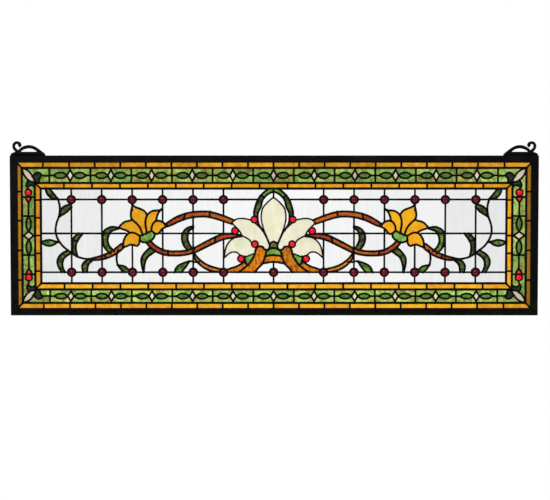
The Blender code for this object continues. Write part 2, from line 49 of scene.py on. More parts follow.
# The view, as in the photograph: nearly square on, from a little above the middle of the
# panel. All distances in this section and the next are metres.
VIEW_DISTANCE = 2.2
VIEW_ABOVE = math.radians(2.5)
PICTURE_WIDTH, SENSOR_WIDTH = 0.8748, 36
AIM_ASIDE, AIM_BELOW = 0.0011, 0.0230
rail_top, rail_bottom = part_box("frame_rail_top"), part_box("frame_rail_bottom")
PANEL_TOP, PANEL_BOTTOM = rail_top[1][2], rail_bottom[0][2]
PANEL_Z = (PANEL_TOP + PANEL_BOTTOM) / 2
PANEL_HALF_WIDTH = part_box("frame_rail_right")[1][0]
PANEL_HALF_HEIGHT = (PANEL_TOP - PANEL_BOTTOM) / 2
aim = Vector((AIM_ASIDE, 0, PANEL_Z - AIM_BELOW))


def new_object(name, data):
    thing = bpy.data.objects.new(name, data)
    bpy.context.scene.collection.objects.link(thing)
    return thing


camera_data = bpy.data.cameras.new("camera")
camera_data.sensor_width = SENSOR_WIDTH
camera_data.lens = SENSOR_WIDTH * VIEW_DISTANCE / PICTURE_WIDTH
camera = new_object("camera", camera_data)
back = Vector((0, -math.cos(VIEW_ABOVE), math.sin(VIEW_ABOVE)))
camera.location = aim + back * VIEW_DISTANCE
camera.rotation_euler = (-back).to_track_quat("-Z", "Y").to_euler()
bpy.context.scene.camera = camera
bpy.context.scene.view_settings.view_transform = "Standard"

# The room: a pale floor well below the hanging panel, and plain soft studio light. It is white
# all round, seen through the glass too, but dimmer where the black metal mirrors it, and one
# broad lamp stands in front and above.
FLOOR_BELOW, FLOOR_RADIUS = 0.62, 0.75
LAMP_PLACE, LAMP_WIDTH, LAMP_HEIGHT, LAMP_POWER = (-0.7, -1.7, 1.1), 1.6, 1.2, 12
MIRRORED_LIGHT = 0.25


def shader_of(name):
    """A new material and its shader."""
    finish = bpy.data.materials.new(name)
    finish.use_nodes = True
    return finish, finish.node_tree.nodes["Principled BSDF"]


def feed(tree, node, *in_order, **named):
    """Gives a node its settings and inputs. An input is a value or a socket to link."""
    for key, value in (*named.items(), *enumerate(in_order)):
        if hasattr(node, str(key)):
            setattr(node, key, value)
            continue
        socket = node.inputs[key.replace("_", " ") if isinstance(key, str) else key]
        if isinstance(value, bpy.types.NodeSocket):
            tree.links.new(value, socket)
        else:
            socket.default_value = value
    return node


def add_node(tree, kind, *in_order, **named):
    return feed(tree, tree.nodes.new(kind), *in_order, **named)


bpy.ops.object.select_all(action="DESELECT")
bpy.ops.mesh.primitive_circle_add(vertices=96, radius=FLOOR_RADIUS, fill_type="NGON",
                                  location=(0, 0, PANEL_BOTTOM - FLOOR_BELOW))
floor = bpy.context.object
floor.name = "floor"
floor_paint, floor_shader = shader_of("floor_paint")
feed(floor_paint.node_tree, floor_shader, Base_Color=(0.86, 0.86, 0.85, 1), Roughness=0.7)
floor.data.materials.append(floor_paint)

world = bpy.data.worlds.new("daylight")
bpy.context.scene.world = world
world.use_nodes = True
air = world.node_tree
air.nodes.clear()
path = add_node(air, "ShaderNodeLightPath").outputs
mirrored = add_node(air, "ShaderNodeMath", path["Is Glossy Ray"], path["Is Transmission Ray"],
                    operation="SUBTRACT", use_clamp=True)
strength = add_node(air, "ShaderNodeMapRange", Value=mirrored.outputs[0], To_Min=1.0, To_Max=MIRRORED_LIGHT)
sky = add_node(air, "ShaderNodeBackground", Color=(1, 1, 1, 1), Strength=strength.outputs["Result"])
add_node(air, "ShaderNodeOutputWorld", Surface=sky.outputs[0])
lamp_data = bpy.data.lights.new("window_lamp", "AREA")
lamp_data.shape, lamp_data.size, lamp_data.size_y = "RECTANGLE", LAMP_WIDTH, LAMP_HEIGHT
lamp_data.energy = LAMP_POWER
lamp = new_object("window_lamp", lamp_data)
lamp.location = LAMP_PLACE
lamp.rotation_euler = (Vector((0, 0, PANEL_Z)) - lamp.location).to_track_quat("-Z", "Y").to_euler()


# Black patina: the finish of the channel frame, the hangers and the solder. Uneven dark metal
# with a soft sheen, worn a little paler in patches. The frame is zinc channel with mitred
# corners, the same solids as in the model.
def new_group(name, inputs, outputs):
    """A node group, what it is given and what it puts out. Each socket is a name and a kind."""
    group = bpy.data.node_groups.new(name, "ShaderNodeTree")
    for way, sockets in (("INPUT", inputs), ("OUTPUT", outputs)):
        for socket, kind in sockets.items():
            group.interface.new_socket(socket, in_out=way, socket_type=f"NodeSocket{kind}")
    return group, group.nodes.new("NodeGroupInput").outputs, group.nodes.new("NodeGroupOutput")


def blend(tree, share, first, second):
    """The colour between two. Inputs 6 and 7 of a mix are its colours, and output 2 the result."""
    mix = add_node(tree, "ShaderNodeMix", data_type="RGBA", Factor=share)
    tree.links.new(first, mix.inputs[6])
    tree.links.new(second, mix.inputs[7])
    return mix.outputs[2]


def build_patina():
    """Node group: mottled patina colour, its roughness and the height of its unevenness."""
    group, given, put_out = new_group("patina", {"Dark": "Color", "Worn": "Color", "Grain Scale": "Float"},
                                      {"Color": "Color", "Roughness": "Float", "Height": "Float"})
    place = add_node(group, "ShaderNodeTexCoord").outputs["Object"]
    grain = add_node(group, "ShaderNodeTexNoise", Vector=place, Scale=given["Grain Scale"], Detail=4.0,
                     Roughness=0.6).outputs["Fac"]
    broad = add_node(group, "ShaderNodeTexNoise", Vector=place, Scale=38.0, Detail=2.0)
    wear = add_node(group, "ShaderNodeMapRange", Value=broad.outputs["Fac"], From_Min=0.5, From_Max=0.8)
    rough = add_node(group, "ShaderNodeMapRange", Value=grain, To_Min=0.3, To_Max=0.55)
    colour = blend(group, wear.outputs["Result"], given["Dark"], given["Worn"])
    feed(group, put_out, Color=colour, Roughness=rough.outputs["Result"], Height=grain)
    return group


def patina_metal(name, dark, worn, grain_scale, bump_depth):
    finish, shader = shader_of(name)
    tree = finish.node_tree
    patina = add_node(tree, "ShaderNodeGroup", node_tree=patina_group, Dark=(*dark, 1), Worn=(*worn, 1),
                      Grain_Scale=grain_scale).outputs
    bump = add_node(tree, "ShaderNodeBump", Strength=0.4, Distance=bump_depth, Height=patina["Height"])
    feed(tree, shader, Base_Color=patina["Color"], Roughness=patina["Roughness"],
         Normal=bump.outputs["Normal"], Specular_IOR_Level=0.14)
    return finish


patina_group = build_patina()
frame_black = patina_metal("frame_black", (0.0012, 0.0012, 0.0011), (0.005, 0.005, 0.0047), 420, 0.00012)
SIDES = ("top", "bottom", "left", "right")
for side in SIDES:
    rail = bpy.data.objects[f"frame_rail_{side}"]
    rail.data.materials.clear()
    rail.data.materials.append(frame_black)


# Scroll hangers, cast in metal and painted black: an arch and a curl rising from a foot bar on
# the top rail. Each is drawn as tapering rods, melted into one casting. Places are millimetres
# from the outer corner of the frame, inwards and up, with the rod's radius.
HANGER_ARCH = ((13.2, 3.6, 2.1), (15.9, 8.0, 2.4), (20.4, 11.2, 2.7), (25.5, 13.0, 2.8), (30.6, 13.6, 2.8),
               (36.6, 12.4, 2.8), (42.5, 9.2, 2.7), (48.0, 5.4, 2.5), (52.4, 2.4, 2.1), (55.6, 0.7, 1.2))
HANGER_CURL = ((13.8, 4.4, 2.7), (10.4, 7.2, 2.6), (7.4, 10.2, 2.5), (5.9, 13.6, 2.4), (6.5, 17.2, 2.4),
               (8.9, 19.6, 2.4), (12.2, 20.0, 2.4), (15.1, 18.4, 2.4), (15.8, 15.9, 2.5), (13.7, 14.3, 2.7))
HANGER_FOOT = ((1.2, 0.5, 1.4), (4.0, 1.7, 2.4), (8.5, 2.6, 2.9), (14.0, 2.9, 2.9), (28.0, 2.9, 2.9),
               (40.0, 2.9, 2.9), (46.0, 2.7, 2.7), (54.4, 0.8, 1.5))
HANGER_HALF_DEPTH, DEPTH_STRETCH = 2.6, 1.25
FOOT_RAISED, FOOT_FLAT, FOOT_SUNK = 0.3, 1.1, 0.3


def smooth_through(points, steps):
    """A smooth curve through the points, which may carry more values than two places."""
    before, after = ([2 * p - q for p, q in zip(*pair)] for pair in (points[:2], points[:-3:-1]))
    line = [before, *points, after]
    dense = []
    for a, b, c, d in zip(line, line[1:], line[2:], line[3:]):
        for k in range(steps):
            t = k / steps
            dense.append(tuple(
                0.5 * (2 * q + (r - p) * t + (2 * p - 5 * q + 4 * r - s) * t * t
                       + (3 * q - p - 3 * r + s) * t**3)
                for p, q, r, s in zip(a, b, c, d)))
    return [*dense, tuple(points[-1])]


def only(piece):
    """Selects one piece alone and makes it the active one."""
    bpy.ops.object.select_all(action="DESELECT")
    piece.select_set(True)
    bpy.context.view_layer.objects.active = piece


def rods(name, runs, resolution):
    """Round rods as one mesh. Each run is a list of (x, z, radius) in metres, on the panel's plane."""
    drawn = bpy.data.curves.new(name, "CURVE")
    drawn.dimensions, drawn.bevel_depth, drawn.bevel_resolution = "3D", 1.0, resolution
    drawn.use_fill_caps = True
    for run in runs:
        spline = drawn.splines.new("POLY")
        spline.points.add(len(run) - 1)
        for point, (x, z, radius) in zip(spline.points, run):
            point.co = (x, 0, z, 1)
            point.radius = radius
    only(new_object(name, drawn))
    bpy.ops.object.convert(target="MESH")
    rod = bpy.context.object
    bpy.ops.object.mode_set(mode="EDIT")
    bpy.ops.mesh.select_all(action="SELECT")
    bpy.ops.mesh.remove_doubles(threshold=0.000001)
    bpy.ops.mesh.normals_make_consistent(inside=False)
    bpy.ops.object.mode_set(mode="OBJECT")
    return rod


def apply_modifier(piece, kind, **values):
    only(piece)
    modifier = piece.modifiers.new(kind.lower(), kind)
    for key, value in values.items():
        setattr(modifier, key, value)
    bpy.ops.object.modifier_apply(modifier=modifier.name)


def fit(piece, finish, slot, *nodes):
    """Gives a piece its finish and its body, and hides the solids that it stands for. The slot is not used.
    """
    piece.data.materials.append(finish)
    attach(piece, "root")
    if nodes:
        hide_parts(*nodes)


hanger_black = patina_metal("hanger_black", (0.0012, 0.0012, 0.0011), (0.006, 0.0056, 0.0052), 700, 0.0002)
for side, across in (("left", -1), ("right", 1)):
    runs = []
    for rod_line in (HANGER_ARCH, HANGER_CURL, HANGER_FOOT):
        runs.append([(across * (PANEL_HALF_WIDTH - x * MM), PANEL_TOP + (z + FOOT_RAISED) * MM, r * MM)
                     for x, z, r in smooth_through(rod_line, 6)])
    hanger = rods(f"scroll_hanger_{side}", runs, 3)
    for vert in hanger.data.vertices:
        height = vert.co.z - PANEL_TOP
        vert.co.z = PANEL_TOP + (-FOOT_SUNK * MM if height < FOOT_FLAT * MM else height)
        vert.co.y = max(-HANGER_HALF_DEPTH * MM, min(HANGER_HALF_DEPTH * MM, vert.co.y * DEPTH_STRETCH))
    apply_modifier(hanger, "REMESH", mode="VOXEL", voxel_size=0.0004)
    apply_modifier(hanger, "SMOOTH", factor=0.5, iterations=3)
    hanger.data.shade_smooth()
    fit(hanger, hanger_black, "hanger_black", f"hanger_{side}")

# The cartoon: every seam line of the panel, in millimetres from its middle, drawn at full size
# as the glass cutter does. A seam drawn once on the right half is mirrored. Each is of one
# sort of line, which gives its width, and stops where it meets its neighbours.
LINE_WIDTHS = {"borders": 3.9, "tiles": 3.3, "band": 3.4, "grid": 3.1, "motif": 3.6, "outlines": 2.7,
               "jewel_rings": 3.5, "bead_rings": 2.9}
CUT_STEP, INSIDE_RING = 0.7, 0.97
STRAIGHT_TURN, LONGEST_STRAIGHT = math.radians(1.2), 24
seams, rings = [], []


def outside_rings(points):
    """The stretches of a line that lie outside the round jewels and beads."""
    dense = []
    for a, b in zip(points, points[1:]):
        steps = max(1, int((Vector(b) - Vector(a)).length / CUT_STEP))
        dense += [tuple(Vector(a).lerp(Vector(b), k / steps)) for k in range(steps)]
    dense.append(points[-1])
    stretches, run, inside = [], [], None
    for point in dense:
        over = next((r for r in rings if (Vector(point) - Vector(r[0])).length < r[1]), None)
        if over is None:
            if inside:
                run.append(on_ring(inside, point))
            run.append(point)
        elif run:
            stretches.append([*run, on_ring(over, run[-1])])
            run = []
        inside = over
    stretches.append(run)
    return [thin_out(run) for run in stretches if len(run) > 1]


def on_ring(ring_place, point):
    """A place just inside a ring's line, towards the point."""
    centre, radius = ring_place
    return tuple(Vector(centre) + (Vector(point) - Vector(centre)).normalized() * (radius * INSIDE_RING))


def thin_out(run):
    """The line without the points that lie on a straight stretch."""
    kept = [run[0]]
    for point, after in zip(run[1:], run[2:]):
        turn = (Vector(point) - Vector(kept[-1])).angle(Vector(after) - Vector(point), 0)
        if turn > STRAIGHT_TURN or (Vector(point) - Vector(kept[-1])).length > LONGEST_STRAIGHT:
            kept.append(point)
    return [*kept, run[-1]]


def seam(points, sort, sides=(1, -1), curved=True):
    """Draws a seam of one sort, on the right half of the panel and mirrored on the left."""
    drawn = smooth_through(points, 5) if curved and len(points) > 2 else points
    for side in sides:
        for run in outside_rings([(side * x, z) for x, z in drawn]):
            seams.append((run, sort))


def ring(centre, radius, sort, sides=24):
    round_line = [(centre[0] + radius * math.cos(math.tau * i / sides),
                   centre[1] + radius * math.sin(math.tau * i / sides)) for i in range(sides + 1)]
    rings.append((centre, radius))
    seams.append((round_line, sort))


# Jewels and beads: round domed pieces of pressed red glass, foiled and set in rings of solder
# where the lines of the field cross, at the joints of the palmette and in the side borders.
JEWEL_COLUMNS = (79.5, 127.8, 176.1, 224.4, 272.7, 321.0)
UPPER_ROW, MIDDLE_ROW, LOWER_ROW = 57.3, 3.4, -58.3
JEWEL_SEAM, BEAD_SEAM, SIDE_BEAD_SEAM = 6.1, 5.1, 5.4
SIDE_BEAD_X, SIDE_BEAD_HEIGHTS = 389.0, (69.4, -66.6)
PALMETTE_BEADS = ((30.5, 25.5), (61.3, 7.5), (29.6, -13.6), (51.8, -36.7))
jewels, small_beads, side_beads = [(0.0, LOWER_ROW)], [], []
for x in JEWEL_COLUMNS:
    jewels += [(x, UPPER_ROW), (-x, UPPER_ROW), (x, LOWER_ROW), (-x, LOWER_ROW)]
for x, z in PALMETTE_BEADS:
    small_beads += [(x, z), (-x, z)]
side_beads += [(across * SIDE_BEAD_X, z) for across in (1, -1) for z in SIDE_BEAD_HEIGHTS]
for centres, radius, sort in ((jewels, JEWEL_SEAM, "jewel_rings"), (small_beads, BEAD_SEAM, "bead_rings"),
                              (side_beads, SIDE_BEAD_SEAM, "bead_rings")):
    for centre in centres:
        ring(centre, radius, sort)

# Border seams: four rectangles of long seams, the cross seams of the amber tiles, evenly
# spaced, and the mitres at the corners. Distances are from the outside of the frame, whose
# channel hides the glass edge, so that no solder is run there.
GLASS_EDGE, OUTER_SEAM, GREEN_SEAM, FIELD_SEAM = 6.3, 19.3, 40.8, 50.9
HALF_WIDTH, HALF_HEIGHT = PANEL_HALF_WIDTH / MM, PANEL_HALF_HEIGHT / MM
OUTER_TILES = [40.5 * i for i in range(-9, 10)]
INNER_TILES = [44.3 * (i + 0.5) for i in range(-8, 8)]
OUTER_SIDE_TILES = (-70.9, -23.6, 23.6, 70.9)
INNER_SIDE_TILES = (-56.5, -28.2, 0.0, 28.2, 56.5)
for inset, sort in ((GLASS_EDGE, "edge"), (OUTER_SEAM, "borders"), (GREEN_SEAM, "borders"),
                    (FIELD_SEAM, "borders")):
    x, z = HALF_WIDTH - inset, HALF_HEIGHT - inset
    for end in (1, -1):
        seam(((-x, end * z), (x, end * z)), sort, sides=(1,))
        seam(((end * x, -z), (end * x, z)), sort, sides=(1,))
for outside, inside, tiles, side_tiles in ((GLASS_EDGE, OUTER_SEAM, OUTER_TILES, OUTER_SIDE_TILES),
                                           (GREEN_SEAM, FIELD_SEAM, INNER_TILES, INNER_SIDE_TILES)):
    for end in (1, -1):
        for x in tiles:
            seam(((x, end * (HALF_HEIGHT - outside)), (x, end * (HALF_HEIGHT - inside))), "tiles",
                 sides=(1,))
        for z in side_tiles:
            seam(((end * (HALF_WIDTH - outside), z), (end * (HALF_WIDTH - inside), z)), "tiles",
                 sides=(1,))
        seam(((HALF_WIDTH - outside, end * (HALF_HEIGHT - outside)),
              (HALF_WIDTH - inside, end * (HALF_HEIGHT - inside))), "tiles")

# Green band seams: along the top and bottom, units of an eye, a diamond and an eye on the
# band's centre line. Up each side one long unit, then a teardrop, a bead and the corner piece,
# a leaf on the diagonal with a curl to each side of it.
BAND_Z, BAND_X = 96.95, 388.95
BAND_HALF = (GREEN_SEAM - OUTER_SEAM) / 2
UNIT, DIAMOND_HALF, DIAMOND_TIP, EYE_START, EYE_HALF_HEIGHT = 64.5, 4.9, 8.2, 7.0, 4.1
SHOULDER, SHOULDER_HEIGHT = 0.23, EYE_HALF_HEIGHT * 0.78
unit_ends = [UNIT * (i + 0.5) for i in range(-6, 6)]
band_eyes, band_diamonds = [], []
for up in (1, -1):
    z = up * BAND_Z
    for x in unit_ends:
        seam(((x, z - BAND_HALF), (x, z + BAND_HALF)), "tiles", sides=(1,))
    for x in unit_ends[:-1]:
        middle = x + UNIT / 2
        band_diamonds.append((middle, z))
        for across in (1, -1):
            for slope in (1, -1):
                seam(((middle + across * DIAMOND_HALF, z), (middle, z + slope * DIAMOND_TIP),
                      (middle, z + slope * BAND_HALF)), "band", sides=(1,), curved=False)
            tip = middle + across * DIAMOND_HALF
            root = middle + across * (UNIT / 2 - EYE_START)
            band_eyes.append(((tip + root) / 2, z))
            for slope in (1, -1):
                seam(((tip, z), (tip + (root - tip) * SHOULDER, z + slope * SHOULDER_HEIGHT),
                      ((tip + root) / 2, z + slope * EYE_HALF_HEIGHT),
                      (root + (tip - root) * SHOULDER, z + slope * SHOULDER_HEIGHT), (root, z)), "band",
                     sides=(1,))
            seam(((root, z), (middle + across * UNIT / 2, z)), "band", sides=(1,))

SIDE_DIAMOND_HALF, SIDE_DIAMOND_TIP, SIDE_EYE_MIDDLE, SIDE_UNIT_END = 8.5, 6.5, 18.5, 31.0
TEARDROP_TIP, TEARDROP_MIDDLE, TEARDROP_BASE = 52.6, 58.5, 61.6
SIDE_LINES = (
    ((SIDE_DIAMOND_HALF, 0), (0, SIDE_DIAMOND_TIP)),
    ((0, SIDE_DIAMOND_TIP), (3.1, 12.0), (4.2, SIDE_EYE_MIDDLE), (3.1, 25.0), (0, SIDE_UNIT_END)),
    ((0, TEARDROP_TIP), (3.4, 57.0), (5.0, TEARDROP_BASE)),
)
CURL_MIDDLES = ((-14.5, 1.0), (-1.0, -12.8))
side_diamonds, side_eyes, teardrops, corner_leaves, corner_curls = [], [], [], [], []
for up in (1, -1):
    for z in (SIDE_UNIT_END, TEARDROP_BASE):
        seam(((BAND_X - BAND_HALF, up * z), (BAND_X + BAND_HALF, up * z)), "tiles")
    for slope in (1, -1):
        for line in SIDE_LINES:
            seam([(BAND_X + slope * a, up * b) for a, b in line], "band")
    seam(((BAND_X, up * SIDE_UNIT_END), (BAND_X, up * TEARDROP_TIP)), "band")
    for across in (1, -1):
        side_eyes.append((across * BAND_X, up * SIDE_EYE_MIDDLE))
        teardrops.append((across * BAND_X, up * TEARDROP_MIDDLE))
        corner_leaves.append((across * BAND_X, up * BAND_Z))
        corner_curls += [(across * (BAND_X + a), up * (BAND_Z + b)) for a, b in CURL_MIDDLES]
for slope in (1, -1):
    seam(((BAND_X + slope * SIDE_DIAMOND_HALF, 0), (BAND_X + slope * BAND_HALF, 0)), "band")
    side_diamonds.append((slope * BAND_X, 0))
LEAF_HALF_LENGTH, LEAF_HALF_WIDTH, LEAF_TIP = 10.2, 3.6, (-12.0, -9.4)
LEAF_BELLY = (5.8, 2.6)
CURL_TOP = ((-8.4, -0.4), (-12.0, 3.0), (-16.4, 4.4), (-20.7, 2.8), (-23.2, 0.2), (-28.0, -0.5),
            (-34.2, -0.5))
SIDE_CURL = ((0.3, -7.2), (2.8, -11.3), (3.4, -15.4), (1.4, -19.2), (0.2, -22.8))
SIDE_CURL_INSIDE = ((1.4, -19.2), (-0.4, -16.6), (-3.8, -15.0), (-7.6, -15.6), (-10.75, -18.4))
CURL_INSIDE = ((-23.2, 0.2), (-20.2, -2.8), (-18.6, -6.4), (-18.6, -10.75))
for up in (1, -1):
    for slope in (1, -1):
        seam([(BAND_X + along + slope * wide, up * (BAND_Z + along - slope * wide))
              for along, wide in ((LEAF_HALF_LENGTH, 0), LEAF_BELLY, (0, LEAF_HALF_WIDTH),
                                  (-LEAF_BELLY[0], LEAF_BELLY[1]))]
             + [(BAND_X + LEAF_TIP[0], up * (BAND_Z + LEAF_TIP[1]))], "band")
    for curl in (CURL_TOP, CURL_INSIDE, SIDE_CURL, SIDE_CURL_INSIDE):
        seam([(BAND_X + a, up * (BAND_Z + b)) for a, b in curl], "band")

# Seams of the clear field: plain straight lines, six columns to each side and three rows,
# broken off wherever they meet the flowers, leaves and stems.
COLUMN_RUNS = {
    79.5: ((75.1, 30.8), (23.0, 1.4), (-5.0, -75.1)),
    127.8: ((75.1, 37.6), (29.8, 13.5), (12.4, -20.6), (-27.4, -75.1)),
    176.1: ((75.1, 21.8), (11.4, -23.8), (-29.4, -75.1)),
    224.4: ((75.1, 40.0), (-15.0, -75.1)),
    272.7: ((75.1, -33.4), (-36.8, -75.1)),
    321.0: ((75.1, -26.8), (-27.5, -75.1)),
}
for x, runs in COLUMN_RUNS.items():
    for start, end in runs:
        seam(((x, start), (x, end)), "grid")
ROW_RUNS = {
    UPPER_ROW: ((368.2, 26.6),),
    MIDDLE_ROW: ((368.2, 271.2), (261.5, 234.8), (182.4, 145.2), (135.8, 62.0)),
    LOWER_ROW: ((368.2, 0.0),),
}
for z, runs in ROW_RUNS.items():
    for start, end in runs:
        seam(((start, z), (end, z)), "grid")
seam(((0, 75.1), (0, 60.8)), "grid", sides=(1,))
seam(((0, -41.8), (0, -75.1)), "grid", sides=(1,))

# Flower seams: five petals opening from a calyx, one flower on each side of the field. Each is
# a line between two pieces of glass, drawn from joint to joint.
CALYX_INNER, CALYX_TOP, CALYX_OUTER = (193.8, 7.8), (202.1, 3.6), (208.0, 0.9)
CALYX_CORNER, CALYX_LOW = (212.2, -0.7), (212.6, -7.1)
INNER_PETALS, TOP_PETALS = (186.6, 23.2), (200.9, 32.4)
OUTER_PETALS, LOW_PETALS = (225.0, 25.4), (228.7, 4.6)
FLOWER_SEAMS = (
    ((224.2, 49.2), (220.0, 45.6), (214.1, 43.3), (207.8, 40.7), (203.5, 37.2), TOP_PETALS),
    (TOP_PETALS, (202.7, 27.1), (203.5, 21.8), (203.2, 15.4), (202.0, 9.0), CALYX_TOP),
    ((224.2, 49.2), (224.9, 44.2), (226.2, 37.8), (226.6, 31.3), OUTER_PETALS),
    (OUTER_PETALS, (220.2, 21.6), (214.8, 16.2), (211.0, 10.0), CALYX_OUTER),
    (TOP_PETALS, (197.1, 36.2), (192.8, 38.8), (187.6, 39.8), (182.2, 40.0), (177.0, 42.2)),
    ((177.0, 42.2), (181.6, 38.0), (184.4, 32.4), (185.7, 27.6), INNER_PETALS),
    (INNER_PETALS, (190.1, 20.7), (192.6, 16.5), (193.8, 12.0), CALYX_INNER),
    (INNER_PETALS, (182.2, 23.6), (176.9, 21.8), (172.6, 18.8), (168.6, 15.4)),
    ((168.6, 15.4), (172.6, 13.0), (176.9, 10.6), (180.6, 6.0), (184.4, 2.6), (189.2, 4.0), CALYX_INNER),
    (OUTER_PETALS, (230.1, 23.2), (235.4, 22.1), (240.7, 18.6), (246.4, 12.4)),
    ((246.4, 12.4), (239.7, 10.2), (233.8, 8.1), LOW_PETALS),
    (LOW_PETALS, (223.4, 4.7), (218.4, 3.0), CALYX_CORNER),
    (LOW_PETALS, (232.7, 1.6), (236.5, -3.8), (238.8, -11.3), (239.2, -18.2)),
    ((239.2, -18.2), (233.8, -17.1), (230.1, -15.2), (225.9, -14.4), (221.6, -15.2), (217.3, -16.4),
     (213.8, -13.4), CALYX_LOW),
    (CALYX_INNER, CALYX_TOP, CALYX_OUTER, CALYX_CORNER, CALYX_LOW),
    (CALYX_LOW, (208.9, -10.0), (202.4, -10.9), (196.6, -9.2), (192.2, -5.6), (189.2, -1.2), (189.7, 3.4),
     CALYX_INNER),
)
for points in FLOWER_SEAMS:
    seam(points, "motif")

# Palmette seams: a centre petal on a bud and crescent, two side petals on each side, base
# commas, side leaves and the two green arcs that frame it.
BUD_SIDE, BUD_FOOT = (6.2, -13.4), (7.2, -21.4)
PETAL_SEAMS = (
    ((0, 60.8), (7.9, 54.5), (16.1, 45.3), (19.0, 37.0), (19.6, 26.6), (17.8, 17.4), (15.5, 9.1),
     (11.0, -2.3), BUD_SIDE),
    ((29.6, -13.6), (34.7, -11.4), (38.1, -7.1), (45.1, -2.5), (51.0, -0.4)),
    ((51.0, -0.4), (52.0, 3.7), (55.6, 9.1), (60.2, 13.9), (66.7, 19.9)),
    ((66.7, 19.9), (61.5, 25.0), (52.1, 27.2), (41.6, 26.1), (33.9, 23.4), (26.6, 17.4), (18.3, 9.1),
     (12.9, -0.1), (8.2, -10.5), (6.4, -16.0)),
    ((51.0, -0.4), (60.2, -2.8), (68.4, -7.7), (74.1, -15.3), (76.8, -23.4), (78.7, -35.4)),
    ((78.7, -35.4), (70.7, -28.6), (64.9, -26.2), (58.0, -26.9), (53.2, -31.2), (48.6, -33.2), (42.7, -33.2),
     (37.0, -30.7), (30.1, -28.4)),
)
PALMETTE_SEAMS = (
    ((0, -9.8), (3.4, -10.8), BUD_SIDE),
    (BUD_SIDE, (6.2, -17.6), BUD_FOOT),
    (BUD_FOOT, (10.2, -22.6), (14.0, -22.0), (17.2, -18.2)),
    ((0, -19.9), (4.0, -20.2), BUD_FOOT),
    (BUD_FOOT, (11.6, -26.0), (13.2, -33.0)),
    ((0, -31.0), (7.0, -31.6), (13.2, -33.2)),
    ((13.2, -33.0), (15.1, -38.6), (18.3, -45.4), (24.2, -51.3), (30.0, -58.3)),
    ((17.8, -44.6), (7.7, -42.6), (0, -41.8)),
    ((17.2, -18.2), (21.8, -17.0), (26.2, -18.8), (28.8, -23.4), (30.1, -30.4), (34.3, -38.0), (40.3, -46.2),
     (47.5, -52.4), (56.0, -58.3)),
    ((26.2, -18.8), (29.6, -13.6)),
    ((40.6, -46.8), (44.6, -43.2), (45.9, -33.6)),
    ((8.6, 75.1), (12.0, 72.4), (18.1, 66.8), (22.6, 61.0), (26.3, 53.8), (29.6, 43.7), (31.0, 36.5),
     (30.6, 29.3), (30.5, 22.0)),
    ((0, 70.8), (7.9, 67.3), (15.1, 60.2), (18.5, 53.4), (20.1, 45.8), (24.5, 37.0), (25.3, 30.1),
     (24.8, 23.1), (23.1, 17.1), (17.6, 8.7)),
    ((14.6, 60.8), (20.4, 64.2)),
    ((75.0, -54.6), (67.5, -51.9), (58.8, -49.0), (52.3, -45.4), (46.4, -41.6)),
)
for points in PETAL_SEAMS:
    seam(points, "outlines")
for points in PALMETTE_SEAMS:
    seam(points, "motif")

# Vine seams: leaves between two curved lines, tendrils of bare solder, and stems as pairs of
# lines to each side of a centre line with its half width, cut into lengths by short seams.
LEAF_SEAMS = (
    ((360.6, 75.1), (358.2, 67.2), (353.5, 61.3), (347.9, 58.6), (341.9, 58.6)),
    ((354.2, 75.1), (348.7, 68.1), (341.9, 58.6)),
    ((321.0, 50.6), (332.8, 45.8), (337.6, 39.6), (338.7, 30.7)),
    ((321.0, 45.4), (328.1, 37.5), (338.7, 30.7)),
    ((368.2, -10.4), (361.4, -7.9), (354.2, -7.0), (345.0, -9.6), (339.6, -10.3)),
    ((368.2, -10.4), (362.1, -14.8), (355.0, -16.4), (348.2, -14.2), (343.6, -11.0), (339.6, -10.3)),
    ((310.1, 3.4), (316.4, -2.1), (319.6, -8.5), (320.4, -21.2), (319.3, -29.1)),
    ((303.1, 3.4), (309.8, -5.8), (313.8, -14.0), (313.8, -24.3), (311.7, -33.5)),
    ((327.3, -23.6), (336.0, -28.6), (341.2, -34.7), (343.1, -42.6), (341.0, -50.2), (336.4, -58.3)),
    ((321.5, -27.6), (329.7, -33.1), (334.1, -38.6), (335.4, -45.8), (334.1, -52.9), (331.4, -58.3)),
    ((294.0, -37.5), (300.3, -41.3), (303.9, -46.5), (304.3, -51.8), (302.7, -58.3)),
    ((286.0, -38.4), (292.4, -43.4), (295.5, -48.9), (296.8, -58.3)),
    ((246.4, 12.4), (255.7, 13.9), (262.7, 12.1), (268.6, 8.0), (271.0, 2.1), (271.2, -7.1), (269.7, -16.4),
     (265.1, -23.4), (259.5, -28.4)),
    ((244.6, 11.4), (252.2, 9.1), (258.6, 6.3), (261.6, 1.0), (263.4, -4.5), (263.4, -10.5), (260.3, -17.5),
     (253.8, -24.6)),
    ((248.0, -46.8), (237.2, -48.9), (230.8, -53.7), (226.0, -56.0)),
    ((248.0, -46.8), (243.2, -53.4), (238.0, -58.3)),
    ((196.0, -18.4), (203.4, -25.8), (208.6, -32.8), (210.4, -39.7), (209.3, -48.9), (206.9, -58.3)),
    ((187.6, -24.8), (194.0, -29.3), (201.0, -35.0), (204.5, -43.2), (205.8, -50.2), (206.4, -58.3)),
    ((157.5, -58.3), (154.4, -50.7), (147.3, -45.4), (138.2, -42.0), (134.0, -40.9)),
    ((146.9, -58.3), (140.4, -50.7), (136.0, -44.0), (134.0, -40.9)),
    ((128.0, 14.8), (135.8, 12.6), (141.7, 8.0), (145.2, 1.0), (145.5, -7.1), (142.8, -15.3), (139.2, -20.4),
     (136.4, -23.4)),
    ((127.8, 12.4), (133.5, 8.0), (135.8, 2.1), (136.5, -4.8), (134.7, -11.8), (131.2, -18.2),
     (128.4, -21.0)),
)
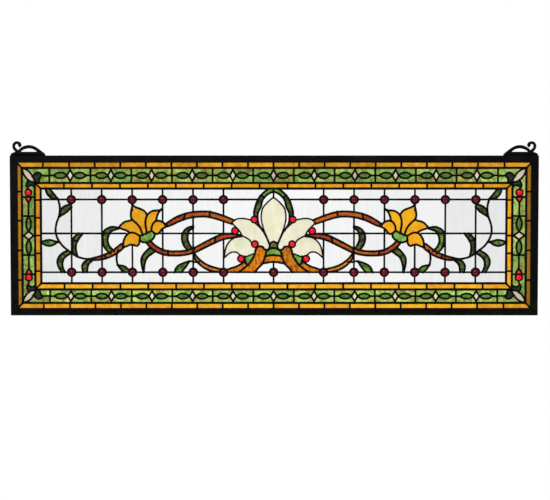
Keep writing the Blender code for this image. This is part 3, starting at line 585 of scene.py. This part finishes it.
TENDRIL_SEAMS = (
    ((341.9, 58.6), (339.2, 48.6), (338.9, 39.1), (340.8, 28.8), (343.9, 20.1), (345.5, 10.5), (345.0, 2.6),
     (341.9, -6.1), (336.8, -14.0), (330.5, -20.4), (322.2, -26.7), (314.3, -32.3), (303.8, -36.2),
     (291.6, -37.5)),
    ((246.6, -23.6), (249.2, -31.0), (249.4, -39.0), (248.0, -46.8)),
    ((134.0, -40.9), (130.0, -40.9), (126.6, -41.8), (119.0, -42.2)),
)
STEMS = (
    ((291.6, -37.5, 0.9), (279.7, -36.4, 2.4), (267.8, -33.3, 3.2), (256.7, -28.6, 3.5), (247.2, -22.0, 3.7),
     (240.0, -16.0, 3.6)),
    ((171.6, 15.8, 1.9), (166.5, 18.3, 3.0), (161.5, 21.0, 3.6), (152.0, 26.1, 4.0), (140.9, 30.3, 4.1),
     (128.2, 33.2, 4.1), (112.4, 34.3, 4.0), (101.3, 33.4, 4.1), (90.2, 30.6, 4.1), (79.1, 26.9, 4.0),
     (65.0, 21.6, 3.6)),
    ((198.6, -10.0, 3.6), (193.3, -16.2, 3.7), (185.3, -21.9, 3.6), (175.8, -26.4, 3.5), (164.7, -28.2, 3.4),
     (152.0, -28.3, 3.3), (140.9, -27.4, 3.3), (126.6, -23.6, 3.4), (117.1, -19.0, 3.6), (107.6, -14.0, 3.8),
     (98.1, -9.3, 3.9), (88.6, -4.9, 4.0), (79.1, -1.7, 3.9), (68.0, -0.4, 3.2), (59.0, -0.2, 2.0),
     (51.5, -0.2, 1.0)),
    ((127.4, -26.6, 0.8), (123.5, -35.4, 2.2), (116.3, -43.1, 2.9), (107.6, -49.2, 3.2), (98.1, -53.0, 3.2),
     (88.6, -55.0, 2.8), (80.0, -56.4, 1.7)),
)
STEM_CUTS = (
    ((272.5, 3.4), (260.0, 3.4)), ((319.2, -6.6), (311.4, -9.0)), ((146.0, 3.4), (134.8, 3.4)),
    ((268.0, -30.6), (267.0, -36.0)), ((140.2, 35.0), (142.8, 26.4)), ((101.0, 38.2), (102.0, 29.4)),
    ((168.0, -24.6), (167.4, -31.6)), ((91.6, -1.6), (94.2, -11.6)), ((125.6, -19.8), (128.6, -27.6)),
)


def stem_edge(stem, side):
    """One edge of a stem: its centre line moved aside by the half width at each point."""
    dense = smooth_through(stem, 3)
    edge = []
    for i, (x, z, half) in enumerate(dense):
        ahead, behind = dense[min(i + 1, len(dense) - 1)], dense[max(i - 1, 0)]
        run = Vector((ahead[0] - behind[0], ahead[1] - behind[1])).normalized()
        edge.append((x - side * run.y * half, z + side * run.x * half))
    return edge


for points in (*LEAF_SEAMS, *TENDRIL_SEAMS):
    seam(points, "motif")
for stem in STEMS:
    for side in (1, -1):
        seam(stem_edge(stem, side), "motif", curved=False)
for points in STEM_CUTS:
    seam(points, "band")

# Cutting the glass: first every seam is run on to the nearest seam at each of its ends. Then
# the lines divide the panel into cells, and each cell is one piece of glass. A cell is found
# as the triangles that no seam line parts.
JOIN_WITHIN, RUN_PAST, TOUCHING, SAME_POINT = 3.4, 0.15, 0.05, 0.02


def nearest_on_others(end, own):
    """The nearest point to a seam's end on any other seam, or None."""
    best, best_gap = None, JOIN_WITHIN
    for number, (points, _) in enumerate(seams):
        if number == own:
            continue
        (left, low), (right, high) = seam_boxes[number]
        if not (left <= end.x <= right and low <= end.y <= high):
            continue
        for a, b in zip(points, points[1:]):
            near, share = intersect_point_line(end, a, b)
            if share < 0 or share > 1:
                near = Vector(a) if share < 0 else Vector(b)
            gap = (near.xy - end).length
            if gap < best_gap:
                best, best_gap = near.xy, gap
    return best


# Hand made, the panel isn't quite even: its bands are a millimetre or two wider on some sides.
# Each limit of a band as drawn has a place where it came out.
DRAWN_X = (-419.0, -399.7, -378.2, -368.1, -321.0, 321.0, 368.1, 378.2, 399.7, 419.0)
MADE_X = (-419.0, -400.6, -380.2, -370.8, -322.3, 319.9, 368.8, 378.0, 400.0, 419.0)
DRAWN_Z = (-127.0, -107.7, -86.2, -76.1, -58.3, 57.3, 76.1, 86.2, 107.7, 127.0)
MADE_Z = (-127.0, -107.3, -85.8, -76.0, -58.4, 57.3, 74.6, 83.5, 107.4, 127.0)


def as_made(point):
    """Where a point of the drawing came out on the finished panel."""
    made = []
    for value, drawn, real in ((point[0], DRAWN_X, MADE_X), (point[1], DRAWN_Z, MADE_Z)):
        k = sum(value > limit for limit in drawn[1:-1])
        share = (value - drawn[k]) / (drawn[k + 1] - drawn[k])
        made.append(real[k] + share * (real[k + 1] - real[k]))
    return tuple(made)


seams = [([as_made(p) for p in points], sort) for points, sort in seams]
seam_boxes = []
for points, _ in seams:
    xs, zs = zip(*points)
    seam_boxes.append(((min(xs) - JOIN_WITHIN, min(zs) - JOIN_WITHIN),
                       (max(xs) + JOIN_WITHIN, max(zs) + JOIN_WITHIN)))
joined = []
for number, (points, sort) in enumerate(seams):
    line = [Vector(p) for p in points]
    if (line[0] - line[-1]).length > SAME_POINT:
        for end, before in ((0, 1), (-1, -2)):
            near = nearest_on_others(line[end], number)
            if near is None or (near - line[end]).dot(line[end] - line[before]) < 0:
                continue
            run_on = (near - line[before]).normalized() * RUN_PAST
            if (near - line[end]).length > TOUCHING:
                line.insert(0 if end == 0 else len(line), near + run_on)
            else:
                line[end] = line[end] + run_on
    joined.append(([tuple(p) for p in line], sort))
seams = joined
network, network_lines = [], []
for points, _ in seams:
    first = len(network)
    network += [Vector(p) for p in points]
    network_lines += [(i, i + 1) for i in range(first, len(network) - 1)]
corners, lines, triangles, _, line_sources, _ = delaunay_2d_cdt(network, network_lines, [], 0, SAME_POINT)
is_seam = {frozenset(ends): bool(source) for ends, source in zip(lines, line_sources)}
sharing, cell_of, cells = {}, {}, []
for i, triangle in enumerate(triangles):
    for a, b in zip(triangle, [*triangle[1:], triangle[0]]):
        sharing.setdefault(frozenset((a, b)), []).append(i)
for start in range(len(triangles)):
    if start in cell_of:
        continue
    cell, queue = [], [start]
    cell_of[start] = len(cells)
    while queue:
        i = queue.pop()
        cell.append(i)
        triangle = triangles[i]
        for a, b in zip(triangle, [*triangle[1:], triangle[0]]):
            if is_seam.get(frozenset((a, b))):
                continue
            for j in sharing[frozenset((a, b))]:
                if j not in cell_of:
                    cell_of[j] = len(cells)
                    queue.append(j)
    cells.append(cell)


def triangle_area(i):
    a, b, c = (corners[k] for k in triangles[i])
    return (b - a).cross(c - a) / 2


def cell_area(cell):
    return sum(abs(triangle_area(i)) for i in cell)


def cell_middle(cell):
    total = Vector((0, 0))
    for i in cell:
        total += sum((corners[k] for k in triangles[i]), Vector((0, 0))) / 3 * abs(triangle_area(i))
    return total / max(cell_area(cell), 1e-9)


def cell_at(x, z):
    """The number of the cell under a point."""
    point = Vector((x, z))
    for i, triangle in enumerate(triangles):
        a, b, c = (corners[k] for k in triangle)
        turns = [(q - p).cross(point - p) for p, q in ((a, b), (b, c), (c, a))]
        if min(turns) >= 0 or max(turns) <= 0:
            return cell_of[i]
    return None


# Every cell is given its kind: first by the band that it lies in, then, for the pattern's own
# pieces, by a place inside each of them. The places of one half are mirrored. No sheet glass
# is cut for the cells of the jewels.
SMALLEST_PIECE = 5.0
kinds = {}
for number, cell in enumerate(cells):
    x, z = cell_middle(cell)
    if cell_area(cell) < SMALLEST_PIECE:
        continue
    for i, kind in enumerate(("outer_amber_tiles", "green_band_glass", "inner_amber_tiles", "clear_panes")):
        if MADE_X[i] < x < MADE_X[-1 - i] and MADE_Z[i] < z < MADE_Z[-1 - i]:
            kinds[number] = kind
SEEDS = {
    "jewel_cells": [*jewels, *small_beads, *side_beads],
    "band_eyes": [*band_eyes, *side_eyes],
    "band_diamonds": [*band_diamonds, *side_diamonds],
    "corner_leaves": corner_leaves,
    "corner_curls": corner_curls,
    "teardrops": teardrops,
}
HALF_SEEDS = {
    "flower_petals": ((213, 30), (192, 30), (181, 14), (234, 17), (226, -6)),
    "calyxes": ((201, -4),),
    "palmette_petals": ((4, 25), (40, 12), (60, -16)),
    "bud_glass": ((1.5, -15),),
    "crescent_glass": ((2, -25.5), (40, -38)),
    "arch_glass": ((3, -37),),
    "comma_glass": ((22, -30), (23, -44), (54, -51)),
    "arcs_bright": ((9, 70),),
    "arcs_dark": ((26, 47),),
    "loop_glass": ((108, -49.4), (94, -54)),
    "stem_brown": ((275, -35.2), (150, 27), (180, -25), (70, -0.5), (82, -2.6)),
    "stem_amber": ((258, -29), (80, 27), (120, 34.0), (110, -15.2), (134, -25.8), (160, -28.4)),
    "leaves_deep": ((354, 68), (331, 43), (312, -4), (318, -15), (339, -42), (301, -50), (266, 6), (142, 7),
                    (140, -12), (206, -36)),
    "leaves_fresh": ((355, -11.5), (238, -53), (146, -50), (267, -8)),
}
for seeds, sides in ((SEEDS, (1,)), (HALF_SEEDS, (1, -1))):
    for kind, places in seeds.items():
        for x, z in places:
            for side in sides:
                kinds[cell_at(*as_made((side * x, z)))] = kind


# Sheet glass: each piece is cut from 3 mm glass, a hair smaller than its cell for the foil.
# The pieces of one sort are one object, and a colour attribute tells the pieces apart: it holds a shade and
# a shift of the streaks of each piece's own, and painted light and shade, how bright the piece is painted
# for its place.
GLASS_HALF, FOIL = 1.5, 0.25
OUTER_SIDE, BAND_SIDE, INNER_SIDE, INNER_TOP = 400, 378, 370, 60
FLAT_TURN, LEAST_PULL = math.radians(0.3), 0.2
draw = random.Random(11)


def painted_light_at(kind, x, z):
    """Painted light and shade: how bright a piece is painted for its place, darker beside the frame, towards
    the sides and along the top, brighter along the bottom, and on some pieces darker on one side than on the
    other.
    """
    if kind == "outer_amber_tiles":
        if abs(x) > OUTER_SIDE:
            return 0.36 if x > 0 else 0.52
        return 0.86 if z > 0 else 1.22 - 0.3 * (x / OUTER_SIDE) ** 2
    if kind == "inner_amber_tiles":
        if x < -INNER_SIDE:
            return 0.82
        return 0.92 if z > INNER_TOP else 1.14
    if kind == "green_band_glass":
        if abs(x) > BAND_SIDE:
            return 0.98 if x > 0 else 0.8
        return 0.92 if z > 0 else 1.2
    if kind in ("band_diamonds", "band_eyes"):
        painted_shade, painted_lit = (0.78, 0.94) if kind == "band_diamonds" else (0.8, 0.95)
        return painted_shade if z > 0 or abs(x) > BAND_SIDE else painted_lit
    if kind == "clear_panes":
        return 1 - 0.13 * (x / INNER_SIDE) ** 2
    if kind == "corner_leaves":
        return 0.75
    if kind == "comma_glass":
        return 0.8 if x > 0 else 1.0
    return 0.88 if kind == "flower_petals" and x < 0 else 1.0


def cut_glass(kind):
    """The object for all cells of a kind: prisms on the panel's plane, with their own shades and their
    painted light and shade.
    """
    cut = bmesh.new()
    shade = cut.verts.layers.float_color.new("piece")
    for number, cell in enumerate(cells):
        if kinds.get(number) != kind:
            continue
        # The fourth value is painted light and shade: how bright the piece is painted for its place.
        own = (draw.random(), draw.random(), draw.random(), painted_light_at(kind, *cell_middle(cell)))
        used = {}
        faces = []
        for i in cell:
            loop = triangles[i] if triangle_area(i) > 0 else triangles[i][::-1]
            for k in loop:
                if k not in used:
                    used[k] = cut.verts.new((corners[k].x, -GLASS_HALF, corners[k].y))
                    used[k][shade] = own
            faces.append(cut.faces.new([used[k] for k in loop]))
        bmesh.ops.dissolve_limit(cut, angle_limit=FLAT_TURN, verts=list(used.values()),
                                 edges=list({e for f in faces for e in f.edges}))
        faces = [f for f in cut.faces if not f.tag]
        pull = {}
        for edge in {e for f in faces for e in f.edges if e.is_boundary}:
            a, b = (v.co for v in edge.verts)
            inward = edge.link_faces[0].calc_center_median() - a
            side = Vector((-(b - a).z, 0, (b - a).x)).normalized()
            side = side if side.dot(inward) > 0 else -side
            for vert in edge.verts:
                pull[vert] = pull.get(vert, Vector()) + side
        for vert, way in pull.items():
            if way.length > LEAST_PULL:
                vert.co += way.normalized() * FOIL
        grown = bmesh.ops.extrude_face_region(cut, geom=faces)["geom"]
        for item in grown:
            if isinstance(item, bmesh.types.BMVert):
                item.co.y = GLASS_HALF
                item[shade] = own
        prism = [f for f in cut.faces if not f.tag]
        bmesh.ops.recalc_face_normals(cut, faces=prism)
        for face in prism:
            face.normal_update()
            face.tag = True
        if sum(f.calc_area() * f.normal.dot(f.verts[0].co) for f in prism) < 0:
            bmesh.ops.reverse_faces(cut, faces=prism)
    bmesh.ops.triangulate(cut, faces=cut.faces)
    for vert in cut.verts:
        vert.co = vert.co * MM + Vector((0, 0, PANEL_Z))
    data = bpy.data.meshes.new(kind)
    cut.to_mesh(data)
    cut.free()
    return new_object(kind, data)


def build_streaks():
    """Node group: streaks of two colours and the waviness of rolled glass, for each piece, with its own
    shade and its painted light and shade.
    """
    group, given, put_out = new_group(
        "rolled_glass", {"Pale": "Color", "Deep": "Color", "Other": "Color", "Streak Scale": "Vector",
                         "Edge": "Float", "Shade Range": "Float", "Wave Scale": "Vector"},
        {"Color": "Color", "Height": "Float"})

    def count(operation, *numbers):
        return add_node(group, "ShaderNodeMath", *numbers, operation=operation).outputs[0]

    def move(operation, *vectors, **named):
        return add_node(group, "ShaderNodeVectorMath", *vectors, operation=operation, **named).outputs[0]

    place = add_node(group, "ShaderNodeTexCoord").outputs["Object"]
    piece = add_node(group, "ShaderNodeAttribute", attribute_name="piece").outputs
    moved = move("ADD", place, piece["Vector"])
    streak = add_node(group, "ShaderNodeTexNoise", Vector=move("MULTIPLY", moved, given["Streak Scale"]),
                      Scale=1.0, Detail=5.0, Roughness=0.55, Distortion=0.9)
    contrast = add_node(group, "ShaderNodeMapRange", Value=streak.outputs["Fac"],
                        interpolation_type="SMOOTHSTEP", From_Min=count("SUBTRACT", 0.5, given["Edge"]),
                        From_Max=count("ADD", 0.5, given["Edge"]))
    own = add_node(group, "ShaderNodeSeparateColor", piece["Color"]).outputs
    deep = blend(group, own[1], given["Deep"], given["Other"])
    streaked = blend(group, contrast.outputs["Result"], deep, given["Pale"])
    shade = count("MULTIPLY_ADD", count("SUBTRACT", own[0], 0.5), given["Shade Range"], 1.0)
    # The attribute's alpha is painted light and shade: it scales each piece's colour by how bright it is
    # painted for its place.
    painted_lit = move("SCALE", streaked, Scale=count("MULTIPLY", shade, piece["Alpha"]))
    wave = add_node(group, "ShaderNodeTexNoise", Vector=move("MULTIPLY", moved, given["Wave Scale"]),
                    Scale=1.0, Detail=2.0)
    feed(group, put_out, Color=painted_lit, Height=wave.outputs["Fac"])
    return group


def seen(colour):
    """A colour as the eye reads it off the glass, 0 to 255, as the light it stands for."""
    return (*(((v / 255 + 0.055) / 1.055) ** 2.4 if v > 10 else v / 255 / 12.92 for v in colour), 1)


def each_way(scale):
    """A pattern's scale along the three axes: one for all, or three of their own."""
    return scale if isinstance(scale, tuple) else (scale,) * 3


def rolled_glass(name, pale, deep, other=None, streak_scale=70, edge=0.2, clearness=0.92,
                 shade_range=0.3, roughness=0.12, wave_scale=160, wave_depth=0.0005, gloss=0.3):
    finish, shader = shader_of(name)
    tree = finish.node_tree
    streaks = add_node(tree, "ShaderNodeGroup", node_tree=streak_group, Pale=seen(pale), Deep=seen(deep),
                       Other=seen(other or deep), Streak_Scale=each_way(streak_scale), Edge=edge,
                       Shade_Range=shade_range, Wave_Scale=each_way(wave_scale)).outputs
    bump = add_node(tree, "ShaderNodeBump", Strength=0.6, Distance=wave_depth, Height=streaks["Height"])
    feed(tree, shader, Base_Color=streaks["Color"], Normal=bump.outputs["Normal"], Roughness=roughness,
         Transmission_Weight=clearness, IOR=1.5, Specular_IOR_Level=gloss)
    return finish


def glaze(kind, finish, slot, *nodes):
    fit(cut_glass(kind), finish, slot, *nodes)


streak_group = build_streaks()

# Border glass: amber tiles in two widths, streaked, and mottled green between them in yellower
# and deeper pieces, with clearer green eyes, cream diamonds and corner leaves, dark green
# curls and bright red teardrops.
amber = rolled_glass("amber_glass", (255, 186, 38), (218, 134, 4), (236, 156, 4), 110, 0.2)
glaze("outer_amber_tiles", amber, "amber_glass", *(f"outer_amber_{side}" for side in SIDES))
glaze("inner_amber_tiles", amber, "amber_glass", *(f"inner_amber_{side}" for side in SIDES))
green = rolled_glass("green_glass", (184, 212, 112), (78, 152, 54), (134, 118, 22), 120, 0.15,
                     shade_range=0.5)
glaze("green_band_glass", green, "green_glass", *(f"green_border_{side}" for side in SIDES))
eye_green = rolled_glass("eye_glass", (112, 164, 62), (60, 104, 28), (74, 90, 24), 200)
glaze("band_eyes", eye_green, "leaf_glass")
diamond_cream = rolled_glass("diamond_glass", (255, 244, 220), (242, 216, 184), (250, 230, 202), 90,
                             roughness=0.35)
glaze("band_diamonds", diamond_cream, "cream_glass")
glaze("corner_leaves", diamond_cream, "cream_glass")
curl_green = rolled_glass("curl_glass", (46, 60, 34), (14, 22, 10), None, 160)
glaze("corner_curls", curl_green, "leaf_glass")
tear_red = rolled_glass("teardrop_glass", (246, 70, 30), (214, 30, 16), None, 90, shade_range=0.1)
glaze("teardrops", tear_red, "jewel_red")

# Clear panes: colourless glass with fine upright ripples, through which the light behind
# shows, cut to the squares of the field and to what the pattern leaves of them.
clear = rolled_glass("clear_glass", (255, 255, 255), (236, 237, 238), (247, 248, 248), (420, 420, 22), 0.26,
                     clearness=1.0, shade_range=0.03, roughness=0.02, wave_scale=(150, 150, 14),
                     wave_depth=0.0008)
glaze("clear_panes", clear, "clear_glass", "field_glass")

# Flower glass: five petals of streaky amber on a mottled green calyx. The petals stand round
# it like a lily's, each of one piece.
lily = rolled_glass("lily_glass", (255, 194, 26), (242, 156, 2), (250, 170, 6), 90, 0.24, shade_range=0.1)
PETALS = ("petal_top", *(f"petal_{place}_{row}" for place in ("inner", "outer") for row in ("high", "low")))
glaze("flower_petals", lily, "amber_glass", *(f"{petal}_{side}" for petal in PETALS for side in SIDES[2:]))
calyx_green = rolled_glass("calyx_glass", (150, 200, 90), (72, 136, 38), (104, 150, 46), 150, 0.14)
glaze("calyxes", calyx_green, "leaf_glass", "calyx_left", "calyx_right")

# Palmette glass: opalescent cream petals, on streaky orange commas with an olive bud, a green
# crescent and leaves, and an orange arch below; two green arcs frame it, each in two shades.
cream = rolled_glass("cream_glass", (254, 252, 228), (234, 233, 200), (246, 236, 200), (60, 60, 36), 0.22,
                     shade_range=0.05, roughness=0.4)
glaze("palmette_petals", cream, "cream_glass", "centre_petal",
      *(f"side_petal_{row}_{side}" for row in ("high", "low") for side in SIDES[2:]))
olive = rolled_glass("olive_glass", (136, 140, 56), (84, 88, 26), None, 150)
glaze("bud_glass", olive, "olive_glass", "bud")
glaze("crescent_glass", calyx_green, "leaf_glass", "crescent", "side_leaf_left", "side_leaf_right")
orange = rolled_glass("orange_glass", (255, 160, 2), (110, 36, 0), (190, 82, 0), (270, 270, 100), 0.12,
                      shade_range=0.1, gloss=0.12)
glaze("arch_glass", orange, "orange_glass", "base_arch")
glaze("comma_glass", orange, "orange_glass", "base_comma_left", "base_comma_right")
arc_bright = rolled_glass("arc_bright_glass", (124, 180, 76), (70, 128, 42), None, 150)
glaze("arcs_bright", arc_bright, "leaf_glass")
leaf_deep = rolled_glass("leaf_deep_glass", (100, 122, 50), (12, 20, 6), (30, 44, 14), 150, 0.12, gloss=0.15)
glaze("arcs_dark", leaf_deep, "leaf_glass")

# Vine glass: stems of red-brown and orange-brown lengths, leaves in two greens and the orange
# loop under the palmette's side.
brown = rolled_glass("stem_brown_glass", (208, 80, 18), (92, 26, 4), (130, 44, 8), 230, 0.12)
glaze("stem_brown", brown, "orange_glass")
amber_stem = rolled_glass("stem_amber_glass", (228, 116, 22), (132, 50, 6), (176, 76, 8), 230, 0.12)
glaze("stem_amber", amber_stem, "orange_glass")
loop_orange = rolled_glass("loop_glass", (238, 148, 34), (186, 96, 14), None, 200, 0.16)
glaze("loop_glass", loop_orange, "orange_glass")
glaze("leaves_deep", leaf_deep, "leaf_glass")
leaf_green = rolled_glass("leaf_glass", (126, 170, 62), (40, 76, 16), (34, 58, 14), 150, 0.15, gloss=0.15)
glaze("leaves_fresh", leaf_green, "leaf_glass")

# Jewels: pressed of deep red glass, domed on the face and flatter behind. The beads are
# smaller and brighter. Both are set into the rings of solder. Each has its radius, and its
# rise in front and behind.
JEWEL_SIZE, BEAD_SIZE, SIDE_BEAD_SIZE = (5.5, 4.3, 2.4), (4.7, 3.8, 2.2), (5.0, 3.8, 2.2)


def add_balls(mesh, places, size, segments, ring_count):
    """Adds a ball to a mesh at each place, of a radius and a rise in front and behind."""
    radius, front, behind = size
    bpy.ops.mesh.primitive_uv_sphere_add(segments=segments, ring_count=ring_count, radius=MM,
                                         rotation=(math.pi / 2, 0, 0))
    ball = bpy.context.object
    bpy.ops.object.transform_apply(rotation=True)
    for vert in ball.data.vertices:
        x, y, z = vert.co
        vert.co = (x * radius, y * (front if y < 0 else behind), z * radius)
    together = bmesh.new()
    together.from_mesh(mesh)
    for x, z in places:
        first = len(together.verts)
        together.from_mesh(ball.data)
        together.verts.ensure_lookup_table()
        for vert in together.verts[first:]:
            vert.co += Vector((x, 0, z)) * MM
    together.to_mesh(mesh)
    together.free()
    bpy.data.objects.remove(ball)


def set_jewels(name, centres, size, finish):
    stones = new_object(name, bpy.data.meshes.new(name))
    add_balls(stones.data, map(as_made, centres), size, 24, 14)
    for vert in stones.data.vertices:
        vert.co.z += PANEL_Z
    stones.data.shade_smooth()
    fit(stones, finish, "jewel_red")


jewel_red = rolled_glass("jewel_glass", (130, 0, 28), (66, 0, 12), None, 260, clearness=0.9,
                         shade_range=0.0, roughness=0.06, gloss=0.08)
bead_red = rolled_glass("bead_glass", (255, 8, 46), (236, 2, 34), None, 90, 0.25, clearness=0.95,
                        shade_range=0.0, roughness=0.06, gloss=0.15)
set_jewels("jewels", jewels, JEWEL_SIZE, jewel_red)
set_jewels("red_beads", small_beads, BEAD_SIZE, bead_red)
set_jewels("side_beads", side_beads, SIDE_BEAD_SIZE, bead_red)

# Solder: a rounded bead along every seam, front and back, run over the copper foil and
# blackened. Each is drawn as a rod through the glass, whose two faces are raised above it, a
# little uneven in width, and a drop of solder lies on each joint.
SOLDER_RISE, SOLDER_MIDDLE, UNEVEN, DROP_WIDER = 1.15, 0.05, (0.94, 1.08), 1.22
solder_black = patina_metal("solder_black", (0.0012, 0.0012, 0.001), (0.006, 0.006, 0.005), 900, 0.0003)
for sort, width in LINE_WIDTHS.items():
    half = width / 2
    runs, drops = [], set()
    for points, own in seams:
        if own == sort:
            runs.append([(x * MM, z * MM, half * MM * draw.uniform(*UNEVEN)) for x, z in points])
            if "ring" not in sort:
                drops |= {points[0], points[-1]}
    bead = rods(f"solder_{sort}", runs, 2)
    add_balls(bead.data, sorted(drops), [half * DROP_WIDER] * 3, 10, 6)
    for vert in bead.data.vertices:
        share = min(1.0, abs(vert.co.y) / (half * MM))
        if share > SOLDER_MIDDLE:
            vert.co.y = math.copysign((GLASS_HALF + SOLDER_RISE * share) * MM, vert.co.y)
        vert.co.z += PANEL_Z
    bead.data.shade_smooth()
    fit(bead, solder_black, "solder_black", *(["solder_lattice"] if sort == "motif" else []))
